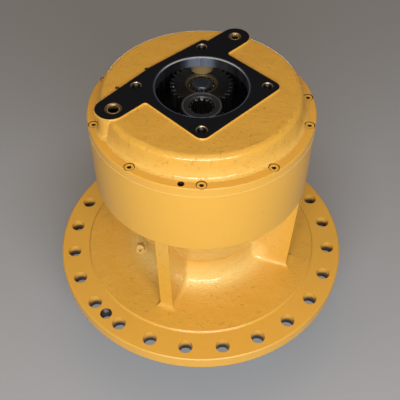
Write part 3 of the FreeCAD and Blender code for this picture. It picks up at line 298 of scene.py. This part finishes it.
# Painted shade: the walls of the flange's bolt holes darken to brown towards the bottom, with a wavy
# edge.
holes = housing.near_ring(BOLT_CIRCLE, BOLT_COUNT, BOLT_START, BOLT_HOLE_REACH)
wobble = housing.noise(HOLE_SHADE_WOBBLE_GRAIN) * HOLE_SHADE_WOBBLE
hole_shade = holes * housing.fade(housing.z + wobble, *HOLE_SHADE_DEPTHS)
colour = housing.mix(hole_shade, colour, HOLE_SHADE_BROWN)
thread = housing.near([JACK_HOLE], JACK_HOLE_RADIUS) * (housing.z < FLANGE_TOP - FACE_MARGIN)
seat = housing.z < FACE_MARGIN
bare = thread | seat
steel_roughness, rings = bare_iron(housing)
crests = housing.maths("SINE", housing.z * (2 * math.pi / THREAD_PITCH))
housing.set("Base Color", housing.mix(bare, colour, BARE_STEEL))
housing.set("Metallic", bare)
housing.set("Coat Weight", CAST_GLOSS - turned * (CAST_GLOSS - TURNED_GLOSS))
housing.set("Roughness", roughness * (1.0 - bare) + steel_roughness * bare)
ridges = rings * seat + crests * thread * THREAD_SHARE
housing.relief(height * (1.0 - bare) + ridges, CAST_DEPTH)
housing.dress("housing", "neck_port_plug")

# Sealing bead: the sealant that the two flanges press out at the joint, wiped off and painted over,
# which stays as a thin raised line round the drum.
BEAD_RADIUS = 0.1662
BEAD_HEIGHT = 0.3093
BEAD_WIDTH = 0.0011
BEAD_STAND = 0.00045
BEAD_STEPS = 360
BEAD_SECTION = [(-1.0, -0.3), (-0.5, 0.8), (0.0, 1.0), (0.5, 0.8), (1.0, -0.3)]
BEAD_SWELLS = [(0.18, 11, 0.0), (0.12, 29, 1.0)]
BEAD_HIGHLIGHT = (0.86, 0.60, 0.24)

points = []
for step in range(BEAD_STEPS):
    turn = 2 * math.pi * step / BEAD_STEPS
    swell = 1.0
    for share, waves, shift in BEAD_SWELLS:
        swell += share * math.sin(waves * turn + shift)
    for rise, stand in BEAD_SECTION:
        out = BEAD_RADIUS + BEAD_STAND * stand * swell
        height = BEAD_HEIGHT + BEAD_WIDTH / 2 * rise
        points.append((out * math.cos(turn), out * math.sin(turn), height))
faces = []
rows = len(BEAD_SECTION)
for step in range(BEAD_STEPS):
    here = step * rows
    there = (step + 1) % BEAD_STEPS * rows
    for row in range(rows):
        after = (row + 1) % rows
        faces.append((here + row, there + row, there + after, here + after))
mesh = bpy.data.meshes.new("joint_sealing_bead")
mesh.from_pydata(points, [], faces)
mesh.shade_smooth()
bead = bpy.data.objects.new("joint_sealing_bead", mesh)
bpy.context.scene.collection.objects.link(bead)
sealant = Finish("painted_sealant", Roughness=0.26)
# Painted highlight: the bead's paint is mottled towards pale yellow so that the line reads light.
sealant.set("Base Color", sealant.mix(sealant.noise(0.012), YELLOW, BEAD_HIGHLIGHT))
mesh.materials.append(sealant.material)
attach(bead, "gearbox")

# Cover: a cast lid with a turned rim, the rounded dome and the pad that carries the motor. The pad
# is faced flat and blackened, its pilot bore and screw holes are bare steel, and the inside of the
# lid is brown primer.
PAD_BLACK = (0.0055, 0.006, 0.0085)
PAD_TOP = 0.3604
COVER_GLOSS = 0.3
PAD_SKIN = 0.00008
PAD_ROUNDING = 0.0006
DOME_TOP = 0.3580
DOME_SKIN = 0.0001
DOME_FOOT = (0.342, 0.332)
DOME_GRAIN_AND_HIGHLIGHT = 0.35
RIM_TOP = 0.3237
RIM_SKIN = 0.0003
PILOT_REACH = 0.0702
PLATE_BOTTOM = 0.3440
INSIDE_RADIUS = 0.1300
LEAD_TOP = 0.0697
LEAD_BOTTOM = 0.0665
LEAD_SKIN = 0.0001
GAP_INSETS = (0.0010, 0.0004)
MOTOR_CIRCLE = 0.09285
MOTOR_SCREW_COUNT = 4
MOTOR_SCREW_REACH = 0.0082
MOTOR_SCREW_CHAMFER = 0.0020
EARS = ((-0.12063, -0.05049), (0.05049, 0.12063))
EAR_REACHES = (0.0120, 0.0099)
EAR_MOUTH = 0.0018
SCREW_CIRCLE = 0.158
SCREW_STARTS = (-165.0, 7.5)
SCREW_SPACING = 37.5
SCREWS_PER_SIDE = 5
SCREW_RECESS = 0.0078
COVER_JACK_ANGLE = -99.8
COVER_JACK_REACH = 0.0046
NICKS = ((-0.0806, 0.0412), (-0.1196, -0.0022))
NICK_REACH = 0.0030
NICK_GRAIN = 0.0016
NICK_SHARE = 0.40
BAND_GRAIN = 0.16
BAND_EDGE = (0.35, 0.65)
SCUFF_GRAIN = 0.03
PILOT_STEEL = (0.21, 0.235, 0.295)
PILOT_SHADE = (0.085, 0.097, 0.13)
THREAD_STEEL = (0.15, 0.13, 0.115)
LEAD_STEEL = (0.34, 0.43, 0.60)
GAP_STEEL = (0.022, 0.024, 0.030)
RIM_STEEL = (0.88, 0.68, 0.44)
GOLDEN = (0.70, 0.47, 0.22)
EAR_SHADE = (0.012, 0.009, 0.007)
RECESS_SHADE = (0.045, 0.020, 0.010)
PRIMER = (0.20, 0.135, 0.055)


def on_circle(circle, angle):
    return circle * math.cos(math.radians(angle)), circle * math.sin(math.radians(angle))


cover = Finish("cover_enamel", Coat_Weight=COVER_GLOSS, **GLOSSY)
# Painted highlight: low on the dome, round its foot, the enamel is paler, standing in for the
# highlights there; the cast skin is also coarser.
dome_foot = cover.fade(cover.z, *DOME_FOOT) * DOME_GRAIN_AND_HIGHLIGHT
colour, roughness, height = enamel(cover, cover.z < RIM_TOP, dome_foot)
face_level = PAD_TOP - PAD_SKIN
below_face = cover.z < face_level
ragged = cover.noise(NICK_GRAIN) > NICK_SHARE
nicks = cover.near(NICKS, NICK_REACH) * ragged * (cover.z > DOME_TOP - DOME_SKIN)
inside = (cover.radius < INSIDE_RADIUS) * (cover.z < PLATE_BOTTOM)
pilot = (cover.radius < PILOT_REACH) * (cover.z > PLATE_BOTTOM) * below_face
screw_holes = cover.near_ring(MOTOR_CIRCLE, MOTOR_SCREW_COUNT, 0.0, MOTOR_SCREW_REACH)
threads = screw_holes * below_face
screw_rims = threads * (cover.z > PAD_TOP - MOTOR_SCREW_CHAMFER)
ears = cover.near([EARS[0]], EAR_REACHES[0]) + cover.near([EARS[1]], EAR_REACHES[1])
ear_holes = ears * below_face
mouths = ear_holes * (cover.z > PAD_TOP - EAR_MOUTH)
angles = [start + SCREW_SPACING * step for start in SCREW_STARTS for step in range(SCREWS_PER_SIDE)]
recesses = cover.near([on_circle(SCREW_CIRCLE, angle) for angle in angles], SCREW_RECESS)
jack = cover.near([on_circle(SCREW_CIRCLE, COVER_JACK_ANGLE)], COVER_JACK_REACH)
shaded = (recesses | jack) * (cover.z < RIM_TOP - RIM_SKIN)
black = ((cover.z > face_level) | nicks) * (1.0 - ear_holes)
bored = pilot | threads | mouths
heading = cover.node("CombineXYZ", {}, {"X": cover.x / cover.radius, "Y": cover.y / cover.radius})
bands = cover.fade(cover.noise(BAND_GRAIN, 3.0, 0.6, heading), *BAND_EDGE)
colour = cover.mix(inside, colour, PRIMER)
colour = cover.mix(shaded, colour, RECESS_SHADE)
colour = cover.mix(ear_holes, colour, EAR_SHADE)
cover.set("Base Color", cover.mix(mouths, cover.mix(screw_rims, colour, RIM_STEEL), GOLDEN))
cover.set("Metallic", mouths | screw_rims)
cover.set("Roughness", roughness * (1.0 - bored) + bored * BARE_ROUGHNESS)
bump = cover.relief(height * (1.0 - bored) * (1.0 - black), CAST_DEPTH, PAD_ROUNDING)
scuffs = cover.noise(SCUFF_GRAIN, 4.0, 0.6)
cover.lay_over(
    black,
    Base_Color=PAD_BLACK,
    Roughness=0.30 + scuffs * 0.14,
    Specular_IOR_Level=0.12,
    Normal=bump,
)
bored_steel = cover.mix(threads, cover.mix(bands, PILOT_STEEL, PILOT_SHADE), THREAD_STEEL)
cover.lay_over(
    (pilot | threads) * (1.0 - screw_rims),
    Base_Color=bored_steel,
    Metallic=1.0,
    Roughness=0.36 + bands * 0.08,
    Anisotropic=0.9,
    Anisotropic_Rotation=0.25,
    Normal=bump,
)
gap = (cover.radius > LEAD_TOP - GAP_INSETS[0]) * (cover.radius < LEAD_TOP - GAP_INSETS[1])
cover.lay_over(
    pilot * (cover.radius > LEAD_BOTTOM + LEAD_SKIN),
    Base_Color=cover.mix(gap, LEAD_STEEL, GAP_STEEL),
    Metallic=1.0,
    Roughness=0.20 + scuffs * 0.1,
    Normal=bump,
)
cover.dress("cover")

# Cover screws: ten socket head screws, sprayed over with the cover. The dark gap round each head and
# the dark socket are painted shade.
SOCKET_SHADE = (0.02, 0.017, 0.014)
SOCKET_MOUTH = (0.3226, 0.3215)
screws = Finish("screw_enamel")
colour, roughness, height = enamel(screws, screws.z > 0.0, 0.0)
sunk = screws.fade(screws.z, *SOCKET_MOUTH)
screws.set("Base Color", screws.mix(sunk, colour, SOCKET_SHADE))
screws.set("Roughness", roughness)
screws.relief(height, CAST_DEPTH)
screws.dress("cover_screws")

# Gears: case-hardened steel, ground on the flanks, dark with gear oil and bright on the edges,
# partly from wear and partly as painted glints.
GEAR_STEEL = (0.15, 0.15, 0.165)
OILY_STEEL = (0.055, 0.053, 0.055)
EDGE_STEEL = (0.80, 0.80, 0.82)
FILM_GRAIN = 0.018
FILM_ROUGHNESS = 0.18
GRIND_GRAIN = 0.0012
GRIND_ROUGHNESS = 0.06
GRIND_DEPTH = 0.00002
BRIGHT_EDGE_WIDTH = 0.0006
EDGE_WEAR_AND_GLINT_SHARE = 0.8
STEEL_ROUNDING = 0.0005


def hardened(name, bright, dark, smooth, worn_and_glint=EDGE_STEEL):
    """Steel with an oil film in soft patches and bright edges, partly worn and partly painted
    glints.
    """
    steel = Finish(name, Metallic=0.8)
    film = steel.noise(FILM_GRAIN, 3.0, 0.6)
    grind = steel.noise(GRIND_GRAIN, 1.0)
    skin = steel.mix(film, bright, dark)
    steel.set("Base Color", steel.mix(steel.edges(BRIGHT_EDGE_WIDTH) * EDGE_WEAR_AND_GLINT_SHARE, skin, worn_and_glint))
    steel.set("Roughness", smooth + film * FILM_ROUGHNESS + grind * GRIND_ROUGHNESS)
    steel.relief(grind, GRIND_DEPTH, STEEL_ROUNDING)
    return steel


first_planets = ["first_planet_gear_%d" % number for number in (1, 2, 3)]
second_planets = ["second_planet_gear_%d" % number for number in (1, 2, 3)]
gears = hardened("oiled_gear_steel", GEAR_STEEL, OILY_STEEL, 0.24)
gears.dress("ring_gear", "ring_gear_dowels", "second_sun_gear", *first_planets, *second_planets)

# Input sun gear: dark from hardening, with a bright ring round its collar that is a painted
# highlight, and a bright chamfer that is partly wear and partly a painted glint.
COLLAR_HIGHLIGHT_RADII = (0.0268, 0.0291)
COLLAR_HIGHLIGHT_STEEL = (0.17, 0.20, 0.27)
SUN_STEEL = (0.085, 0.088, 0.100)
SUN_OILY = (0.040, 0.042, 0.048)
sun = hardened("input_sun_steel", SUN_STEEL, SUN_OILY, 0.22)
skin = Field(sun, sun.shader.inputs["Base Color"].links[0].from_socket)
collar_highlight = (sun.radius > COLLAR_HIGHLIGHT_RADII[0]) * (sun.radius < COLLAR_HIGHLIGHT_RADII[1])
sun.set("Base Color", sun.mix(collar_highlight, skin, COLLAR_HIGHLIGHT_STEEL))
sun.dress("input_sun_gear")

# Planet pins: hardened steel, dark on the end face with a ground chamfer, its brightness partly a
# painted glint.
PIN_STEEL = (0.24, 0.27, 0.35)
PIN_OILY = (0.13, 0.15, 0.19)
PIN_CHAMFER = (0.95, 0.95, 0.98)
pins = hardened("pin_steel", PIN_STEEL, PIN_OILY, 0.24, PIN_CHAMFER)
pins.dress("first_planet_pins", "second_planet_pins")

# Carriers: machined iron plates, oily and darker than the gears.
CARRIER_IRON = (0.06, 0.058, 0.055)
CARRIER_OILY = (0.025, 0.024, 0.023)
carrier = hardened("carrier_iron", CARRIER_IRON, CARRIER_OILY, 0.38)
carrier.dress("first_carrier", "second_carrier")

# Rolling bearings and rings: ground steel, straw-coloured where the oil has baked on, with bright
# edges that are partly painted glints.
STRAW_STEEL = (0.56, 0.36, 0.14)
STRAW_OILY = (0.26, 0.16, 0.06)
STRAW_EDGE = (0.95, 0.72, 0.38)
ROLLER_STEEL = (0.26, 0.26, 0.27)
ROLLER_OILY = (0.12, 0.12, 0.125)
ROLLER_EDGE = (0.95, 0.95, 0.97)
races = []
for number in (1, 2, 3):
    races += ["first_planet_outer_race_%d" % number, "second_planet_bearing_%d" % number]
for place in ("upper", "lower"):
    races += ["%s_bearing_outer_race" % place, "%s_bearing_inner_race" % place]
straw = hardened("straw_race_steel", STRAW_STEEL, STRAW_OILY, 0.34, STRAW_EDGE)
snap_rings = ["second_sun_retaining_rings", "shaft_retaining_ring", "lower_bearing_retaining_ring"]
straw.dress(*snap_rings, *races)
rollers = ["first_planet_rollers_%d" % number for number in (1, 2, 3)]
rolling = hardened("roller_steel", ROLLER_STEEL, ROLLER_OILY, 0.12, ROLLER_EDGE)
rolling.dress("first_planet_inner_races", "upper_bearing_rollers", "lower_bearing_rollers", *rollers)

# Thrust washers and button: turned bronze.
BRONZE = (0.42, 0.26, 0.11)
BRONZE_OILY = (0.22, 0.13, 0.06)
bronze = hardened("thrust_bronze", BRONZE, BRONZE_OILY, 0.25)
bronze.dress("first_thrust_washers", "second_thrust_washers", "input_thrust_button")

# Dowel sleeves: rolled steel tubes with a thin golden zinc coat and bright cut ends, turning black
# further down.
SLEEVE_GOLD = (0.86, 0.56, 0.20)
SLEEVE_LOWER_BLACK = (0.010, 0.008, 0.006)
SLEEVE_END = (0.95, 0.84, 0.60)
SLEEVE_DARKENING_LEVELS = (0.3535, 0.3570)
SLEEVE_DEPTH = 0.00003
sleeves = Finish("sleeve_steel", Metallic=1.0)
coat = sleeves.mix(sleeves.fade(sleeves.z, *SLEEVE_DARKENING_LEVELS), SLEEVE_LOWER_BLACK, SLEEVE_GOLD)
sleeves.set("Base Color", sleeves.mix(sleeves.edges(BRIGHT_EDGE_WIDTH), coat, SLEEVE_END))
sleeves.set("Roughness", 0.26 + sleeves.noise(0.003) * 0.2)
sleeves.relief(sleeves.noise(0.0015), SLEEVE_DEPTH, STEEL_ROUNDING)
sleeves.dress("left_dowel_sleeve", "right_dowel_sleeve")

# Output shaft: forged in one piece with the pinion that drives the slewing ring.
FORGED_STEEL = (0.36, 0.36, 0.37)
FORGED_OILY = (0.17, 0.165, 0.16)
shaft = hardened("pinion_steel", FORGED_STEEL, FORGED_OILY, 0.26)
shaft.dress("output_pinion_shaft")

# Seals: nitrile rubber, matt and black.
RUBBER_BLACK = (0.012, 0.012, 0.012)
RUBBER_DEPTH = 0.00004
rubber = Finish("seal_rubber", Base_Color=RUBBER_BLACK)
rubber.set("Roughness", 0.55 + rubber.noise(0.002) * 0.2)
rubber.relief(rubber.noise(0.0008), RUBBER_DEPTH)
rubber.dress("cover_seal", "shaft_seal")

# Studio: a pale floor under the pinion, a long window in front, weak ones at the left and behind, a
# wide weak light above and a grey room. The camera stands where the photographer stood, above and
# in front of the drive.
CAMERA_PLACE = (-0.00193, -0.7525, 0.95265)
CAMERA_TILT = 42.09
CAMERA_ROLL = 0.0039
LENS = 60.19
FLOOR_SIZE = 12.0
FLOOR_GREY = (0.38, 0.38, 0.40)
FLOOR_CLOUD = (0.33, 0.33, 0.345)
FLOOR_CLOUD_GRAIN = 0.6
FLOOR_CLOUD_SHARE = 0.2
ROOM_GREY = (0.84, 0.79, 0.74)
ROOM_STRENGTH = 0.11
WINDOWS = {
    "front_window": ((0.12, -1.75, 1.08), (2.0, 0.30), 45.0, (0.97, 1.0, 1.0)),
    "side_window": ((-1.75, -1.05, 1.05), (0.9, 0.7), 3.0, (1.0, 0.82, 0.60)),
    "upper_pane": ((0.0, -1.35, 1.75), (1.2, 0.16), 6.0, (1.0, 0.98, 0.92)),
    "back_window": ((0.0, 2.20, 0.0), (2.4, 0.2), 9.0, (1.0, 0.86, 0.68)),
    "ceiling_light": ((0.0, 0.3, 2.2), (1.8, 1.8), 10.0, (1.0, 0.74, 0.48)),
}

bpy.ops.mesh.primitive_plane_add(size=FLOOR_SIZE, location=(0, 0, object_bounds()[0].z))
floor = bpy.context.object
floor.name = "studio_floor"
paper = Finish("floor_paper", Roughness=0.9)
floor_clouds = paper.noise(FLOOR_CLOUD_GRAIN) * FLOOR_CLOUD_SHARE
paper.set("Base Color", paper.mix(floor_clouds, FLOOR_GREY, FLOOR_CLOUD))
floor.data.materials.append(paper.material)


def window(name, place, size, power, colour):
    """A soft rectangular light of that size in metres, with its power in watts, facing the drum."""
    light = bpy.data.lights.new(name, "AREA")
    light.shape = "RECTANGLE"
    light.size, light.size_y = size
    light.energy = power
    light.color = colour
    lamp = bpy.data.objects.new(name, light)
    lamp.location = place
    lamp.rotation_euler = (-Vector(place)).to_track_quat("-Z", "Y").to_euler()
    bpy.context.scene.collection.objects.link(lamp)


for name, settings in WINDOWS.items():
    window(name, *settings)

world = bpy.data.worlds.new("grey_room")
world.use_nodes = True
background = world.node_tree.nodes["Background"]
background.inputs["Color"].default_value = (*ROOM_GREY, 1.0)
background.inputs["Strength"].default_value = ROOM_STRENGTH
bpy.context.scene.world = world
bpy.context.scene.view_settings.view_transform = "Standard"

camera = bpy.data.objects.new("camera", bpy.data.cameras.new("camera"))
bpy.context.scene.collection.objects.link(camera)
stance = Matrix.Rotation(math.radians(CAMERA_TILT), 4, "X") @ Matrix.Rotation(CAMERA_ROLL, 4, "Z")
camera.matrix_world = Matrix.Translation(CAMERA_PLACE) @ stance
camera.data.lens = LENS
bpy.context.scene.camera = camera
